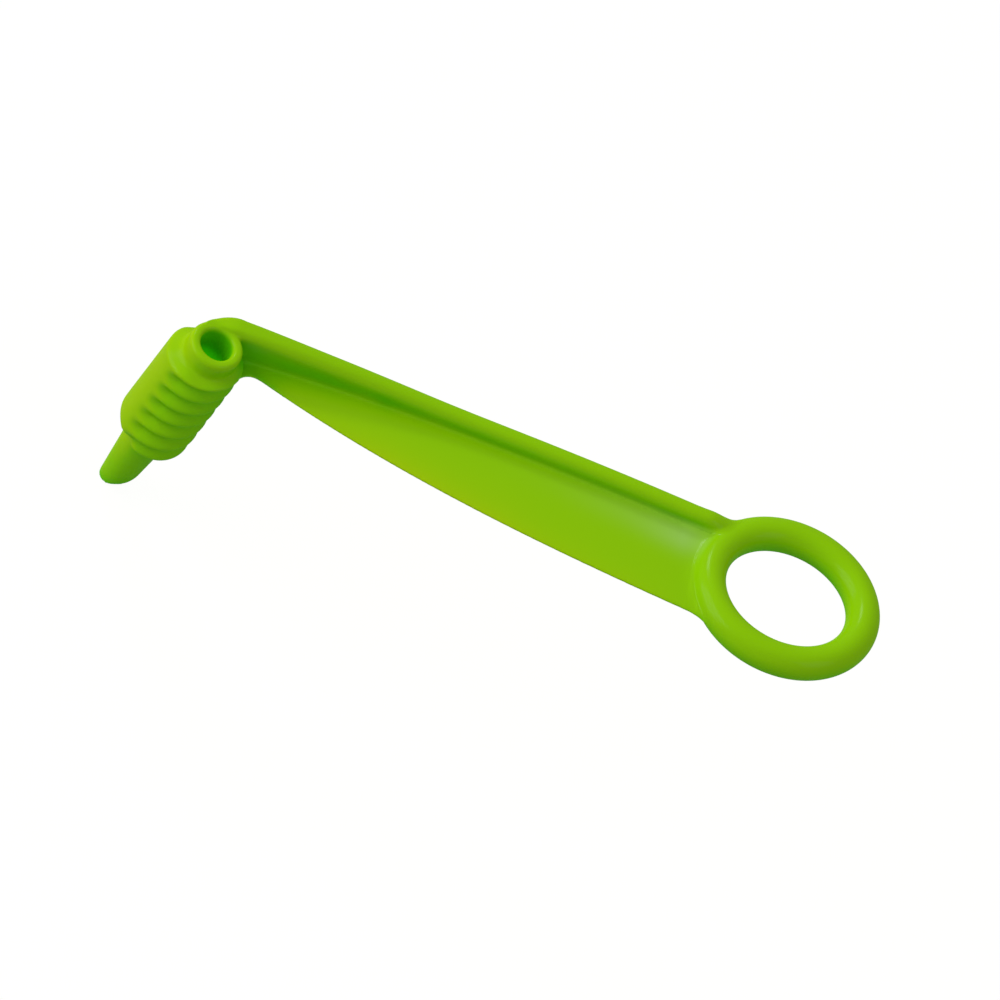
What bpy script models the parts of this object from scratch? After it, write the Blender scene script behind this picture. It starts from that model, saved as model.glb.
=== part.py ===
"""A hand spiral cutter for vegetables, at its real size.

The tool is one rigid plastic moulding: a threaded hub with a tapered pilot pin below it, and an arm that
carries a thin cutting wing and ends in a finger ring. Each section of it is a solid of its own.

Units are metres and radians. +Z runs up the hub's axis, +X runs out along the arm, and the cutting wing's
edge faces -Y. The origin is where the hub's axis meets the pin's slanted tip face.
"""

import math

import bmesh
import bpy
from mathutils import Matrix, Vector

# Gap that a section keeps where it is shaped round its neighbour
FIT_GAP = 0.0003

# Pilot pin: a tapered peg with a slanted tip, closed into the bore by a short shank
PIN_LENGTH = 0.0093
PIN_ROOT_RADIUS = 0.00285
PIN_TIP_RADIUS = 0.00215
TIP_SLANT = math.radians(39)
TIP_TURN = math.radians(13.6)
SHANK_LENGTH = 0.004

# Feed screw: a right-hand thread of one start on a hollow core
SCREW_LENGTH = 0.0203
CORE_RADIUS = 0.0044
CREST_RADIUS = 0.00524
THREAD_PITCH = 0.003
THREAD_START_ANGLE = math.radians(13)
THREAD_RUN_IN = 0.0009
THREAD_END = 0.0199
THREAD_RUN_OUT = 0.0014
NOSE_LENGTH = 0.003
BORE_RADIUS = 0.0021

# Sides of the feed screw: each an angle about the hub's axis, with how far to both sides it holds fully and
# ends. The thread's grooves fade on the far side, the nose ends higher at the lifted side, and the thread runs
# in faster at the side where the wing starts.
FAR_SIDE = (math.radians(176), math.radians(26), math.radians(58))
FAR_SIDE_FILL = 1.0
LIFTED_SIDE = (math.radians(163), math.radians(5), math.radians(88))
NOSE_LIFT = 0.0016
WING_SIDE = (math.radians(345), math.radians(30), math.radians(75))
WING_SIDE_RUN_IN = 0.3

# Collar: the smooth mouth of the bore, on top of the feed screw
COLLAR_RADIUS = 0.0036
COLLAR_HEIGHT = 0.00275
COLLAR_ROUNDING = 0.0005
MOUTH_ROUNDING = 0.0005

# Arm: a sloping plane that starts below the screw's shoulder and holds the wing and the ring
ARM_START_DROP = 0.0027
ARM_CLIMB = math.radians(5.86)

# Finger ring, centred in the arm's plane and tipped about the arm's length
HUB_TO_RING = 0.08235
RING_MEAN_RADIUS = 0.01064
RING_TUBE_RADIUS = 0.00226
RING_TIP = math.radians(5)

# Cutting wing: a flat plate whose front edge is one smooth curve, bevelled from below. The curve runs from
# the first guide point to the last and is drawn towards the two between. Each gives the distance along the arm
# and sideways.
WING_THICKNESS = 0.0011
WING_EDGE_THICKNESS = 0.0004
WING_BEVEL_WIDTH = 0.0012
WING_EDGE_GUIDE = (
    (0.0045, 0.0021),
    (0.0258, -0.0049),
    (0.0471, -0.0069),
    (0.0684, -0.0081),
)
WING_FLARE_RADIUS = 0.006
WING_ROOT_RADIUS = 0.0012

# Rib: the stiff back of the arm. Its middle line is a curve with guide points like the wing's. Its top rises
# a small step over the collar's rim. Its top edges are rounded little at the hub and fully further out, its
# back wraps round the collar, and its end tucks into the ring.
RIB_LINE_GUIDE = (
    (0.0015, 0.0038),
    (0.0121, 0.0053),
    (0.0352, 0.00735),
    (0.0674, 0.00625),
)
RIB_HUB_WIDTH = 0.0029
RIB_RING_WIDTH = 0.0025
RIB_RISE = 0.00262
RIB_DEPTH = 0.0023
RIB_BEND_SOFTNESS = 0.00035
RIB_FLARE_RADIUS = 0.008
RIB_RUN_DOWN = 0.0035
RIB_TUCK = 0.0005
RIB_STEP = 0.00055
RIB_STEP_START = -0.001
RIB_STEP_RUN = 0.004
RIB_ROUNDNESS = 0.95
RIB_HUB_ROUNDING = 0.0009
RIB_ROUNDING_RUN = 0.016
RIB_WRAP_START = 0.0035
RIB_WRAP_LENGTH = 0.00558
RIB_WRAP_DEPTH = 0.0049

# Fineness of the round shapes
ROUND_STEPS = 32
THREAD_ROWS = 54
RING_STEPS = 60
TUBE_STEPS = 18
EDGE_STEPS = 24
RING_SIDE_STEPS = 12
FLARE_STEPS = 5
ROUNDING_STEPS = 4
RIB_STATIONS = 34
RIB_WRAP_STEPS = 8
RIB_CORNER_STEPS = 3
CURVE_HALVINGS = 30
SHARP_ANGLE = math.radians(38)

PLASTIC_COLOUR = (0.25, 0.52, 0.004, 1.0)
PLASTIC_ROUGHNESS = 0.32

SHOULDER_HEIGHT = PIN_LENGTH + SCREW_LENGTH
RIM_HEIGHT = SHOULDER_HEIGHT + COLLAR_HEIGHT
RING_OUTER_RADIUS = RING_MEAN_RADIUS + RING_TUBE_RADIUS
ARM_START = Matrix.Translation((0, 0, SHOULDER_HEIGHT - ARM_START_DROP))
ARM_PLANE = ARM_START @ Matrix.Rotation(-ARM_CLIMB, 4, "Y")
RING_PLANE = ARM_PLANE @ Matrix.Translation((HUB_TO_RING, 0, 0)) @ Matrix.Rotation(-RING_TIP, 4, "X")


def clear_scene():
    for thing in list(bpy.data.objects):
        bpy.data.objects.remove(thing, do_unlink=True)


def green_plastic(piece_name):
    material = bpy.data.materials.new(piece_name + "_plastic")
    material.use_nodes = True
    shader = material.node_tree.nodes["Principled BSDF"]
    shader.inputs["Base Color"].default_value = PLASTIC_COLOUR
    shader.inputs["Roughness"].default_value = PLASTIC_ROUGHNESS
    shader.inputs["Metallic"].default_value = 0.0
    return material


def smooth_step(value):
    """0 below 0, 1 above 1, and a soft S between them."""
    value = min(max(value, 0.0), 1.0)
    return value * value * (3 - 2 * value)


def curve_point(guide, share):
    """The point at a share from 0 to 1 of the cubic Bezier curve with these four guide points."""
    rest = 1 - share
    weights = (rest**3, 3 * rest**2 * share, 3 * rest * share**2, share**3)
    return tuple(sum(weight * point[axis] for weight, point in zip(weights, guide)) for axis in (0, 1))


def curve_side(guide, along):
    """How far sideways a curve with these guide points lies at a distance along the arm."""
    low, high = 0.0, 1.0
    for _ in range(CURVE_HALVINGS):
        middle = (low + high) / 2
        if curve_point(guide, middle)[0] < along:
            low = middle
        else:
            high = middle
    return curve_point(guide, low)[1]


def add_ring(bm, points):
    return [bm.verts.new(point) for point in points]


def join_rings(bm, rings, closed):
    """Skins closed rings of equal counts. The last ring meets the first, or flat caps close both ends."""
    pairs = list(zip(rings, rings[1:]))
    if closed:
        pairs.append((rings[-1], rings[0]))
    for ring, following in pairs:
        for index in range(len(ring)):
            after = (index + 1) % len(ring)
            bm.faces.new((ring[index], ring[after], following[after], following[index]))
    if not closed:
        bm.faces.new(rings[0])
        bm.faces.new(rings[-1])
    bmesh.ops.recalc_face_normals(bm, faces=bm.faces)


def turned_ring(radius_at, height):
    """A ring about the hub's axis. radius_at gives the radius for an angle."""
    angles = [2 * math.pi * step / ROUND_STEPS for step in range(ROUND_STEPS)]
    return [
        Vector((radius_at(angle) * math.cos(angle), radius_at(angle) * math.sin(angle), height))
        for angle in angles
    ]


def round_ring(radius, height):
    return turned_ring(lambda angle: radius, height)


def arc_points(centre, radius, start, end, steps):
    """Points of an arc about a centre, both ends included."""
    turns = [start + (end - start) * step / steps for step in range(steps + 1)]
    return [(centre[0] + radius * math.cos(turn), centre[1] + radius * math.sin(turn)) for turn in turns]


def make_piece(name, bm, place=None):
    """Turns a bmesh into a named, smooth-shaded object with its own material."""
    if place is not None:
        bmesh.ops.transform(bm, matrix=place, verts=bm.verts)
    mesh = bpy.data.meshes.new(name)
    bm.to_mesh(mesh)
    bm.free()
    mesh.shade_smooth()
    mesh.set_sharp_from_angle(angle=SHARP_ANGLE)
    piece = bpy.data.objects.new(name, mesh)
    bpy.context.scene.collection.objects.link(piece)
    piece.data.materials.append(green_plastic(name))
    return piece


def make_cutter(name, bm, place=None):
    cutter = make_piece(name, bm, place)
    cutter.hide_render = True
    cutter.display_type = "WIRE"
    return cutter


def cut_away(piece, cutter):
    modifier = piece.modifiers.new("clear of " + cutter.name, "BOOLEAN")
    modifier.operation = "DIFFERENCE"
    modifier.solver = "EXACT"
    modifier.object = cutter
    cutter.parent = piece


def torus_mesh(tube_radius):
    """A torus of the finger ring's mean radius about the local Z axis."""
    bm = bmesh.new()
    rings = []
    for step in range(RING_STEPS):
        turn = 2 * math.pi * step / RING_STEPS
        outward = Vector((math.cos(turn), math.sin(turn), 0))
        points = []
        for tube_step in range(TUBE_STEPS):
            angle = 2 * math.pi * tube_step / TUBE_STEPS
            reach = RING_MEAN_RADIUS + tube_radius * math.cos(angle)
            points.append(outward * reach + Vector((0, 0, tube_radius * math.sin(angle))))
        rings.append(add_ring(bm, points))
    join_rings(bm, rings, closed=True)
    return bm


def make_hub_collar():
    rim = (COLLAR_RADIUS - COLLAR_ROUNDING, RIM_HEIGHT - COLLAR_ROUNDING)
    mouth = (BORE_RADIUS + MOUTH_ROUNDING, RIM_HEIGHT - MOUTH_ROUNDING)
    profile = [(BORE_RADIUS, SHOULDER_HEIGHT), (COLLAR_RADIUS, SHOULDER_HEIGHT)]
    profile += arc_points(rim, COLLAR_ROUNDING, 0, math.pi / 2, ROUNDING_STEPS)
    profile += arc_points(mouth, MOUTH_ROUNDING, math.pi / 2, math.pi, ROUNDING_STEPS)
    bm = bmesh.new()
    rings = [add_ring(bm, round_ring(radius, height)) for radius, height in profile]
    join_rings(bm, rings, closed=True)
    return make_piece("hub_collar", bm)


def side_share(angle, side):
    """1 within the full angle of a side of the hub, and 0 beyond its end angle."""
    middle, full, end = side
    away = abs((angle - middle + math.pi) % (2 * math.pi) - math.pi)
    return smooth_step((end - away) / (end - full))


def screw_radius(angle, depth):
    """Outer radius of the feed screw at an angle and a depth below its shoulder."""
    lift = NOSE_LIFT * side_share(angle, LIFTED_SIDE)
    run_in = smooth_step(depth / THREAD_RUN_IN / (1 - (1 - WING_SIDE_RUN_IN) * side_share(angle, WING_SIDE)))
    turns = depth / THREAD_PITCH + (angle - THREAD_START_ANGLE) / (2 * math.pi)
    wave = 0.5 + 0.5 * math.cos(2 * math.pi * turns)
    wave += (FAR_SIDE_FILL - wave) * side_share(angle, FAR_SIDE)
    crest_depth = depth - (turns - round(turns)) * THREAD_PITCH
    run_out = smooth_step((THREAD_END - lift - crest_depth) / THREAD_RUN_OUT)
    outer = COLLAR_RADIUS + (CORE_RADIUS - COLLAR_RADIUS) * run_in
    outer += (CREST_RADIUS - CORE_RADIUS) * wave * run_in * run_out
    nose_length = NOSE_LENGTH - lift / 2
    into_nose = min(max((depth - SCREW_LENGTH + lift) / nose_length + 1, 0.0), 1.0)
    return PIN_ROOT_RADIUS + (outer - PIN_ROOT_RADIUS) * math.sqrt(1 - into_nose * into_nose)


def make_feed_screw():
    bm = bmesh.new()
    rings = []
    for row in range(THREAD_ROWS + 1):
        depth = SCREW_LENGTH * row / THREAD_ROWS
        points = turned_ring(lambda angle: screw_radius(angle, depth), SHOULDER_HEIGHT - depth)
        rings.append(add_ring(bm, points))
    rings.append(add_ring(bm, round_ring(BORE_RADIUS, PIN_LENGTH)))
    rings.append(add_ring(bm, round_ring(BORE_RADIUS, SHOULDER_HEIGHT)))
    join_rings(bm, rings, closed=True)
    return make_piece("feed_screw", bm)


def make_pilot_pin():
    """A tapered peg, drawn past the origin and then cut off along the slanted tip plane."""
    overrun = 2 * PIN_TIP_RADIUS * math.tan(TIP_SLANT)
    narrowing = (PIN_ROOT_RADIUS - PIN_TIP_RADIUS) / PIN_LENGTH
    shank_radius = BORE_RADIUS - FIT_GAP
    profile = (
        (shank_radius, PIN_LENGTH + SHANK_LENGTH),
        (shank_radius, PIN_LENGTH),
        (PIN_ROOT_RADIUS, PIN_LENGTH),
        (PIN_TIP_RADIUS - narrowing * overrun, -overrun),
    )
    bm = bmesh.new()
    rings = [add_ring(bm, round_ring(radius, height)) for radius, height in profile]
    join_rings(bm, rings, closed=False)
    tip_normal = Matrix.Rotation(TIP_TURN, 3, "Z") @ Vector((math.sin(TIP_SLANT), 0, -math.cos(TIP_SLANT)))
    everything = list(bm.verts) + list(bm.edges) + list(bm.faces)
    bmesh.ops.bisect_plane(bm, geom=everything, plane_co=(0, 0, 0), plane_no=tip_normal, clear_outer=True)
    open_edges = [edge for edge in bm.edges if edge.is_boundary]
    bmesh.ops.holes_fill(bm, edges=open_edges, sides=0)
    bmesh.ops.recalc_face_normals(bm, faces=bm.faces)
    return make_piece("pilot_pin", bm)


def make_finger_ring():
    return make_piece("finger_ring", torus_mesh(RING_TUBE_RADIUS), RING_PLANE)


def hollow_corner(circle_centre, circle_radius, edge_point, edge_direction, corner_radius, side):
    """Centre of the arc that rounds the hollow corner between a circle and a straight edge.

    The edge's direction leads away from the circle. The corner lies on the right of it if side is 1, and on
    the left if side is -1.
    """
    direction = Vector(edge_direction).normalized()
    across = Vector((direction.y, -direction.x)) * side
    start = Vector(edge_point) + corner_radius * across - Vector(circle_centre)
    beside = start.dot(direction)
    spare = (circle_radius + corner_radius) ** 2 - start.dot(start) + beside**2
    return Vector(circle_centre) + start + direction * (math.sqrt(spare) - beside)


def rib_sides(along):
    """Front and back of the rib. Its back wraps round the collar and flares out where it meets the ring."""
    width = RIB_HUB_WIDTH + (RIB_RING_WIDTH - RIB_HUB_WIDTH) * min(max(along / HUB_TO_RING, 0.0), 1.0)
    front = curve_side(RIB_LINE_GUIDE, along) - width / 2
    back = curve_side(RIB_LINE_GUIDE, max(along, RIB_WRAP_START)) + width / 2
    corner = hollow_corner((HUB_TO_RING, 0), RING_OUTER_RADIUS, (along, back), (-1, 0), RIB_FLARE_RADIUS, 1)
    flare_length = (HUB_TO_RING - corner.x) * RIB_FLARE_RADIUS / (RIB_FLARE_RADIUS + RING_OUTER_RADIUS)
    into_flare = min(max(along - corner.x, 0.0), flare_length)
    flare = RIB_FLARE_RADIUS - math.sqrt(RIB_FLARE_RADIUS**2 - into_flare**2)
    into_wrap = min(max(RIB_WRAP_START - along, 0.0) / RIB_WRAP_LENGTH, 1.0)
    wrap = RIB_WRAP_DEPTH * (1 - math.sqrt(1 - into_wrap**2))
    return front, back + flare - wrap


def rib_end():
    """Distance along the arm at which the rib's middle line meets the ring's centre line."""
    return HUB_TO_RING - math.sqrt(RING_MEAN_RADIUS**2 - RIB_LINE_GUIDE[3][1] ** 2)


def rib_end_share(along):
    """0 along the arm, and 1 where the rib has run down into the ring."""
    return smooth_step((along - rib_end()) / RIB_RUN_DOWN + 1)


def rib_top(along):
    """Height of the rib over the arm's plane: level with the collar's rim, a small step over it, then along
    the wing, then down into the ring."""
    step = RIB_STEP * smooth_step((along - RIB_STEP_START) / RIB_STEP_RUN)
    level = (RIM_HEIGHT + step - ARM_PLANE.translation.z) / math.cos(ARM_CLIMB) - along * math.tan(ARM_CLIMB)
    softened = math.hypot((level - RIB_RISE) / 2, RIB_BEND_SOFTNESS)
    height = (level + RIB_RISE) / 2 + softened
    tucked = RING_TUBE_RADIUS - RIB_TUCK - curve_side(RIB_LINE_GUIDE, along) * math.sin(RING_TIP)
    return height + (tucked - height) * rib_end_share(along)


def rib_section(along):
    """A closed outline across the rib: an upright bar whose four long edges are rounded."""
    front, back = rib_sides(along)
    tuck = RIB_TUCK * rib_end_share(along)
    back -= tuck
    top, bottom = rib_top(along), tuck - RIB_DEPTH
    below = RIB_ROUNDNESS * min(back - front, top - bottom) / 2
    above = RIB_HUB_ROUNDING + (below - RIB_HUB_ROUNDING) * smooth_step(along / RIB_ROUNDING_RUN)
    above = min(above, below)
    corners = (
        (back - above, top - above, above),
        (front + above, top - above, above),
        (front + below, bottom + below, below),
        (back - below, bottom + below, below),
    )
    points = []
    for quarter, (side, height, rounding) in enumerate(corners):
        start = math.pi / 2 * quarter
        points += arc_points((side, height), rounding, start, start + math.pi / 2, RIB_CORNER_STEPS)
    return points


def rib_stations():
    """Distances along the arm of the rib's sections: close together in the wrap, then even to the ring."""
    too_thin, wrap_end = RIB_WRAP_START - RIB_WRAP_LENGTH, RIB_WRAP_START
    for _ in range(CURVE_HALVINGS):
        middle = (too_thin + wrap_end) / 2
        front, back = rib_sides(middle)
        if back - front > FIT_GAP:
            wrap_end = middle
        else:
            too_thin = middle
    wrap = RIB_WRAP_START - wrap_end
    stations = [wrap_end + wrap * step / RIB_WRAP_STEPS for step in range(RIB_WRAP_STEPS)]
    for step in range(RIB_STATIONS + 1):
        stations.append(RIB_WRAP_START + (rib_end() - RIB_WRAP_START) * step / RIB_STATIONS)
    return stations


def make_arm_rib(ring_clearance):
    bm = bmesh.new()
    rings = []
    for along in rib_stations():
        rings.append(add_ring(bm, [(along, side, height) for side, height in rib_section(along)]))
    join_rings(bm, rings, closed=False)
    rib = make_piece("arm_rib", bm, ARM_PLANE)
    cut_away(rib, ring_clearance)
    cut_away(rib, hub_clearance("rib_hub_clearance"))
    return rib


def hub_clearance(name):
    """The hub's outer shape, a fit gap larger all round: the collar above and the screw below."""
    overrun = COLLAR_HEIGHT
    step_height = SHOULDER_HEIGHT + FIT_GAP
    profile = (
        (CREST_RADIUS + FIT_GAP, PIN_LENGTH),
        (CREST_RADIUS + FIT_GAP, step_height),
        (COLLAR_RADIUS + FIT_GAP, step_height),
        (COLLAR_RADIUS + FIT_GAP, RIM_HEIGHT + overrun),
    )
    bm = bmesh.new()
    rings = [add_ring(bm, round_ring(radius, height)) for radius, height in profile]
    join_rings(bm, rings, closed=False)
    return make_cutter(name, bm)


def wing_bevel(bevel, along, side):
    """The bevel's width at a point of the front edge, where the wing may be too narrow for all of it."""
    return min(bevel, (rib_sides(along)[0] - FIT_GAP - side) / 2)


def wing_outline(bevel):
    """The wing seen square on, with its front edge drawn in by the width of its bevel."""
    ring = Vector((HUB_TO_RING, 0))
    edge = [Vector(point) for point in WING_EDGE_GUIDE]
    root = hollow_corner((0, 0), CREST_RADIUS, edge[0], edge[1] - edge[0], WING_ROOT_RADIUS, 1)
    flare = hollow_corner(ring, RING_OUTER_RADIUS, edge[3], edge[2] - edge[3], WING_FLARE_RADIUS, -1)
    root_edge = math.pi / 2 + math.atan2(edge[1].y - edge[0].y, edge[1].x - edge[0].x)
    flare_edge = math.pi / 2 + math.atan2(edge[3].y - edge[2].y, edge[3].x - edge[2].x)
    root_reach = WING_ROOT_RADIUS + wing_bevel(bevel, root.x, root.y + WING_ROOT_RADIUS)
    flare_end = math.atan2(-flare.y, HUB_TO_RING - flare.x)
    root_start = math.atan2(-root.y, -root.x) % (2 * math.pi)
    points = arc_points(root, root_reach, root_start, root_edge, FLARE_STEPS)
    for step in range(EDGE_STEPS + 1):
        along, side = curve_point(WING_EDGE_GUIDE, step / EDGE_STEPS)
        if points[FLARE_STEPS][0] < along < flare.x:
            points.append((along, side + wing_bevel(bevel, along, side)))
    points += arc_points(flare, WING_FLARE_RADIUS + bevel, flare_edge, flare_end, FLARE_STEPS)
    rib_front = rib_sides(HUB_TO_RING - RING_MEAN_RADIUS)[0] - FIT_GAP
    ring_back = math.pi - math.asin(rib_front / RING_MEAN_RADIUS)
    points += arc_points(ring, RING_MEAN_RADIUS, math.pi + flare_end, ring_back, RING_SIDE_STEPS)
    ring_along = points[-1][0]
    hub_along = edge[0].x
    for step in range(1, EDGE_STEPS + 1):
        along = ring_along + (hub_along - ring_along) * step / EDGE_STEPS
        points.append((along, rib_sides(along)[0] - FIT_GAP))
    return points


def make_cutting_wing(ring_clearance):
    layers = (
        (-WING_THICKNESS / 2, WING_BEVEL_WIDTH),
        (WING_THICKNESS / 2 - WING_EDGE_THICKNESS, 0.0),
        (WING_THICKNESS / 2, 0.0),
    )
    bm = bmesh.new()
    rings = []
    for height, bevel in layers:
        rings.append(add_ring(bm, [(along, side, height) for along, side in wing_outline(bevel)]))
    join_rings(bm, rings, closed=False)
    wing = make_piece("cutting_wing", bm, ARM_PLANE)
    cut_away(wing, ring_clearance)
    cut_away(wing, hub_clearance("wing_hub_clearance"))
    return wing


def main():
    clear_scene()
    make_hub_collar()
    make_feed_screw()
    make_pilot_pin()
    make_finger_ring()
    for name, make in (("rib_ring_clearance", make_arm_rib), ("wing_ring_clearance", make_cutting_wing)):
        make(make_cutter(name, torus_mesh(RING_TUBE_RADIUS + FIT_GAP), RING_PLANE))


main()
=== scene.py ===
"""The looks of a hand spiral cutter: one smooth green moulding, shown as the six sections that it's made of.

The sections are modelled one by one, joined into one skin whose inner corners are softened as in a mould, and
parted again, so that each section still stands for its own CAD node.

Units are metres and radians. +Z runs up the hub's axis, +X runs out along the arm, and the cutting wing's
edge faces -Y.
"""

import math

import bmesh
import bpy
import numpy as np
from mathutils import Matrix, Vector
from mathutils.bvhtree import BVHTree


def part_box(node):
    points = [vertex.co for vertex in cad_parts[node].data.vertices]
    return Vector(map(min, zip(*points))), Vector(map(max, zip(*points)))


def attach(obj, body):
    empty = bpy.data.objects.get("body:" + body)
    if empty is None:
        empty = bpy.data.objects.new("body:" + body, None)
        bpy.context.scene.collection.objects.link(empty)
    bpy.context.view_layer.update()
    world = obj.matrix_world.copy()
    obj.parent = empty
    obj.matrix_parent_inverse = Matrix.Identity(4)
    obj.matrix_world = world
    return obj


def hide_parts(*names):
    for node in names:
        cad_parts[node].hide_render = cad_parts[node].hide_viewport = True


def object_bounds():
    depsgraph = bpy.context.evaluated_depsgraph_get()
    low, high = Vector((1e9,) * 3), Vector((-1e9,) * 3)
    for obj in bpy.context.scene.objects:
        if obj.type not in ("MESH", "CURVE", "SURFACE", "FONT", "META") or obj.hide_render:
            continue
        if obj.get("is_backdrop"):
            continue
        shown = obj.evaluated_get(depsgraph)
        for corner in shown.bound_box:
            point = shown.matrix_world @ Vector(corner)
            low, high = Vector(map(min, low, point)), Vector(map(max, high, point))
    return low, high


bl_info = {
    "name": "Spiral cutter",
    "version": (1, 0, 0),
    "blender": (4, 5, 0),
    "location": "3D View > Sidebar > Spiral cutter",
    "description": "Models and finishes a hand spiral cutter for vegetables",
    "category": "Object",
}

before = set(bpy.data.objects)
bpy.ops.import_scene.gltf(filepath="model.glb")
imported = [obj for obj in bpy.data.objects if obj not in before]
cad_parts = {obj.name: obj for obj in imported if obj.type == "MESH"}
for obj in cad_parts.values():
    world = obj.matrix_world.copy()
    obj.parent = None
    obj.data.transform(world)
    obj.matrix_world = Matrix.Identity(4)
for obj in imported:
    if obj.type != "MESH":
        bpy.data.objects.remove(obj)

SECTIONS = ("hub_collar", "feed_screw", "pilot_pin", "arm_rib", "cutting_wing", "finger_ring")
SHOULDER_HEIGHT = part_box("hub_collar")[0].z
RIM_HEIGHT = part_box("hub_collar")[1].z
NOSE_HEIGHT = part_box("feed_screw")[0].z

# How finely the forms and curves are divided
HUB_STEPS = 144
THREAD_ROWS = 170
RING_STEPS = 180
TUBE_STEPS = 48
RIB_STATIONS = 110
RIB_WRAP_STEPS = 40
RIB_CORNER_STEPS = 8
CURVE_HALVINGS = 30
WING_EDGE_STEPS = 90
FLARE_STEPS = 14
ROUNDING_STEPS = 8
FOOT_STEPS = 80

# The rib's rounding, as a share of the fullest that fits
RIB_ROUNDNESS = 0.95

# Sides of the hub: the angle about its axis, and how far from there the side is full and has ended
FAR_SIDE = (math.radians(183), math.radians(33), math.radians(65))
LIFTED_SIDE = (math.radians(163), math.radians(25), math.radians(100))
WING_SIDE = (math.radians(345), math.radians(30), math.radians(75))

# How much longer and shorter the thread's run-in is on the far side and on the wing's side
FAR_RUN_IN, WING_RUN_IN = 0.6, 0.7

# Guide points of the wing's front edge and of the rib's middle line, along and across the arm
WING_EDGE_GUIDE = ((0.0045, 0.0021), (0.0258, -0.0049), (0.0471, -0.0069), (0.0684, -0.0081))
RIB_LINE_GUIDE = ((0.0015, 0.0038), (0.0121, 0.0053), (0.0352, 0.00735), (0.0674, 0.00625))

# Inner corners that the mould rounds: the two forms that meet, how far the rounding reaches, and its rounds
JOINTS = (
    ("finger_ring", "cutting_wing", 0.0045, 300),
    ("finger_ring", "arm_rib", 0.0045, 220),
    ("arm_rib", "cutting_wing", 0.0016, 30),
    ("hub_collar", "arm_rib", 0.0012, 24),
    ("hub_collar", "feed_screw", 0.0018, 40),
    ("feed_screw", "cutting_wing", 0.0030, 120),
    ("feed_screw", "arm_rib", 0.0016, 40),
    ("feed_screw", "pilot_pin", 0.0007, 12),
)
SKIN_SMOOTHING = 6

# Where the skin is parted: a slanted plane by the hub, a square one by the ring, and a line under the rib
HUB_CUT_NORMAL = Vector((0.8, 0.6))
HUB_CUT_REACH = 0.0058
RING_CUT = 0.0675
FOOT_INSET = 0.0007
FAR_OUT = 0.2

# How the light for the painted shade is followed: rays from each corner, the turn between two of them, how
# far they may reach, and what an open ray is worth from everywhere and from the side where most light comes
# from
RAYS = 32
RAY_TURN = 2.39996
RAY_REACH = 0.0132
LIGHT_SIDE = Vector((-0.3, 0.25, 0.92)).normalized()
EVEN_LIGHT, SIDE_LIGHT = 0.585, 0.325
LIGHT_SMOOTHING = 4

# Lack of light over which the plastic turns to its painted shade green, and then to the bore's painted shade
# green
SHADE, BORE_SHADE = (0.32, 0.68), (0.88, 0.98)

# Painted light's share on the hub's left side, which faces the lamps, and how much painted shade a thin place
# or a painted-lit one loses
PAINTED_LIT_SIDE, THIN_LIGHT = 0.8, 0.7
# The painted sheen's strength, and how steeply it grows towards the ring
PAINTED_SHEEN_STRENGTH, PAINTED_SHEEN_GROWTH = 1.8, 10
# Where a look is nothing and where it's full: shares of the way to the ring, thicknesses off the plate,
# crest radii off the hub, bore radii out of the bore, and how far a surface faces the left side
THIN_GROWS, THIN_FADES, PAINTED_SHEEN_FADES = (0.125, 0.375), (1.0, 0.6), (1.0, 14 / 15)
PLATE_FADES, HUB_FADES, BORE_CLEAR, FACES_LEFT = (1.5, 1.0), (2.4, 1.2), (1.1, 1.3), (0.1, 0.8)
MARK_STATIONS = 200

# The surface's two textures, by scale and detail, and the range that most of their values lie in
FLOW, SPECKLE, TEXTURE_RANGE = (90.0, 3.0), (900.0, 2.0), (0.35, 0.65)

# The point that the lamps face, and the height of the one that the camera was worked out from
LIT_POINT, FIT_HEIGHT = Vector((0.045, 0, 0.02)), 0.0321

# Colour sockets: the plastic's green, its thin and painted-lit green, two painted shade greens, a painted
# sheen green and a painted glow
PLASTIC_COLOURS = ("Plastic", "Thin plastic", "Shaded plastic", "Deep plastic", "Sheen plastic", "Glow")
# Masks: painted shade, the thin and painted-lit look, and the painted sheen
PAINTED_LIGHT_MARKS = ("Deep", "Thin_and_lit", "Painted_sheen")


def length(name, description, default):
    """A size in metres."""
    return bpy.props.FloatProperty(
        name=name, description=description, default=default, unit="LENGTH", precision=5, min=0.0
    )


def angle(name, description, degrees):
    """An angle, given in degrees and kept in radians."""
    return bpy.props.FloatProperty(
        name=name, description=description, default=math.radians(degrees), unit="ROTATION", subtype="ANGLE"
    )


def colour(name, description, default):
    """A colour, as linear red, green and blue."""
    return bpy.props.FloatVectorProperty(
        name=name, description=description, default=default, size=3, subtype="COLOR", min=0.0, max=1.0
    )


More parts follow.
